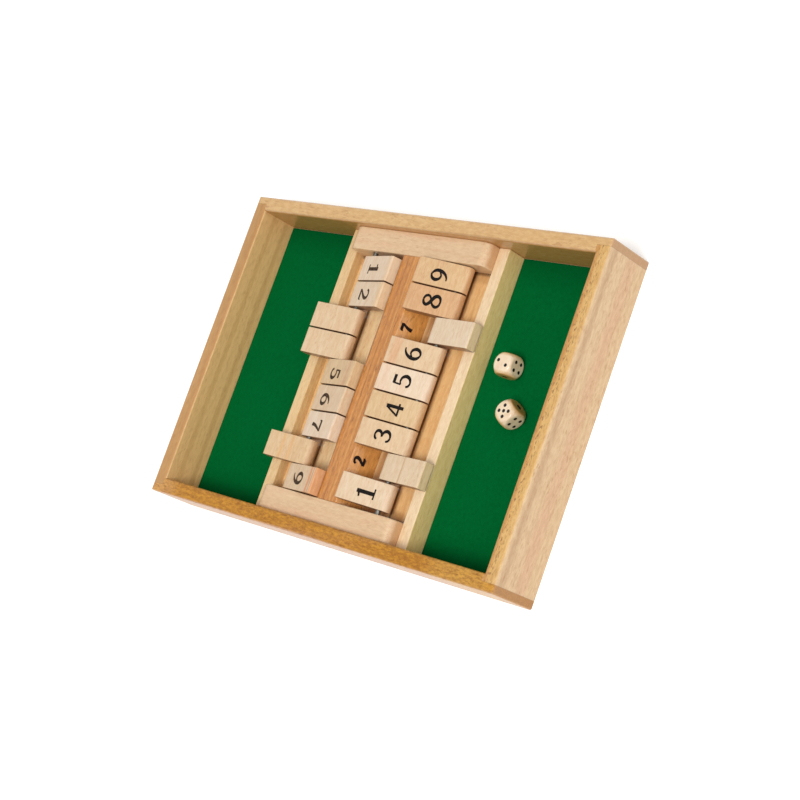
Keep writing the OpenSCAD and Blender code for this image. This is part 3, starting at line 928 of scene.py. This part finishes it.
# A golden tint near both ends of the grain: partly the end grain's own tone, partly painted shade on the
# die's sides
SHOULDER_TONE_AND_SHADE = paint(206, 160, 84)
DIE_LOOK = {
    "bands": 0.9, "band_size": (20.0, 2.2), "rose": 0.5, "rings": 0.35, "ring_step": 2.2,
    "pith": (2.0, -16.0), "flecks": 0.35, "grit": (2.0, 0.5), "waver": 1.0,
    "stains": [(0, 6.2, 2.0, SHOULDER_TONE_AND_SHADE, 0.6), (0, -6.2, 2.0, SHOULDER_TONE_AND_SHADE, 0.6)],
    "end": 0.9, "end_tone": paint(178, 124, 58), "painted": "enamel",
}
for index, (name, (turn, upended)) in enumerate(DICE.items()):
    tip_over = Matrix.Rotation(math.pi if upended else 0.0, 3, "X")
    stand = Matrix.Rotation(math.radians(turn), 3, "Z") @ tip_over
    centre = middle_of(name)
    grain = stand @ Vector(Y_AXIS)
    up = stand @ Vector(UP)
    die = die_surface(name, centre, stand)
    seed = 300.0 + 17 * index
    die.data.materials.append(timber(name + "_wood", grain, up, centre, IVORY, seed, **DIE_LOOK))
    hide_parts(name)

felt = felt_finish()
for node in ("felt_left", "felt_right"):
    felt_sheet(node, felt)

# Floor, light and camera

FLOOR_REACH = 6.0
FLOOR_DROP = 0.2 * MM
floor_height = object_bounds()[0].z - FLOOR_DROP


def floor_finish():
    """A pale paper sweep: the camera sees white with the object's shadow, the rest sees pale paper."""
    finish = Finish("sweep_paper", Roughness=0.9, Specular_IOR_Level=0.1, Emission_Strength=0.35)
    tooth = finish.noise(finish.millimetres(), (1.2, 1.2, 1.2), 1.0, 3.0)
    colour = finish.mix(tooth * 0.04, (0.86, 0.86, 0.86, 1.0), (0.8, 0.8, 0.8, 1.0))
    camera_ray = finish.node("LightPath", output="Is Camera Ray")
    glossy_ray = finish.node("LightPath", output="Is Glossy Ray")
    seen = finish.math("MAXIMUM", camera_ray, glossy_ray)
    finish.shade(Base_Color=colour, Emission_Color=finish.mix(seen, (0, 0, 0, 1), (1, 1, 1, 1)))
    return finish.material


floor_mesh = bpy.data.meshes.new("sweep")
corner_ways = ((-1, -1), (1, -1), (1, 1), (-1, 1))
corners = [(x * FLOOR_REACH, y * FLOOR_REACH, floor_height) for x, y in corner_ways]
floor_mesh.from_pydata(corners, [], [(0, 1, 2, 3)])
floor_mesh.materials.append(floor_finish())
floor = link("sweep", floor_mesh)


def lamp(name, place, size, power, aim=(0.0, 0.0, 0.01)):
    """A round area lamp, its size across in metres and its power in watts."""
    light = bpy.data.lights.new(name, "AREA")
    light.shape = "DISK"
    light.size = size
    light.energy = power
    made = link(name, light)
    made.location = place
    made.rotation_euler = (Vector(aim) - Vector(place)).to_track_quat("-Z", "Y").to_euler()


lamp("key", (1.3, -0.91, 2.98), 1.2, 60.0)
lamp("side", (3.2, 0.3, 1.5), 2.2, 20.0)

# The world's white, as a light and as what the camera and reflections see
WORLD_LIGHT = 0.5
WORLD_SEEN = 1.0
world = bpy.data.worlds.new("studio")
bpy.context.scene.world = world
world.use_nodes = True
tree = world.node_tree
background = tree.nodes["Background"]
background.inputs["Color"].default_value = (1.0, 1.0, 1.0, 1.0)
path = tree.nodes.new("ShaderNodeLightPath")
seen = tree.nodes.new("ShaderNodeMath")
seen.operation = "MAXIMUM"
tree.links.new(path.outputs["Is Camera Ray"], seen.inputs[0])
tree.links.new(path.outputs["Is Glossy Ray"], seen.inputs[1])
strength = tree.nodes.new("ShaderNodeMix")
strength.data_type = "FLOAT"
strength.inputs[2].default_value = WORLD_LIGHT
strength.inputs[3].default_value = WORLD_SEEN
tree.links.new(seen.outputs[0], strength.inputs[0])
tree.links.new(strength.outputs[0], background.inputs["Strength"])

# The photograph's camera: its place and its three ways, found from the tray's corners
CAMERA_PLACE = (0.75542, -0.14428, 0.76882)
CAMERA_RIGHT = (0.70116, 0.33211, -0.63093)
CAMERA_UP = (-0.14884, 0.93358, 0.32601)
CAMERA_BACK = (0.69729, -0.13468, 0.70402)
camera_data = bpy.data.cameras.new("camera")
camera_data.lens = 82.56
camera_data.sensor_width = 36.0
camera_data.shift_x = 0.00543
camera_data.shift_y = -0.01612
camera_data.clip_start = 0.05
camera = link("camera", camera_data)
turn = Matrix((CAMERA_RIGHT, CAMERA_UP, CAMERA_BACK)).transposed()
camera.matrix_world = Matrix.Translation(CAMERA_PLACE) @ turn.to_4x4()
bpy.context.scene.camera = camera

bpy.context.scene.view_settings.view_transform = "Standard"
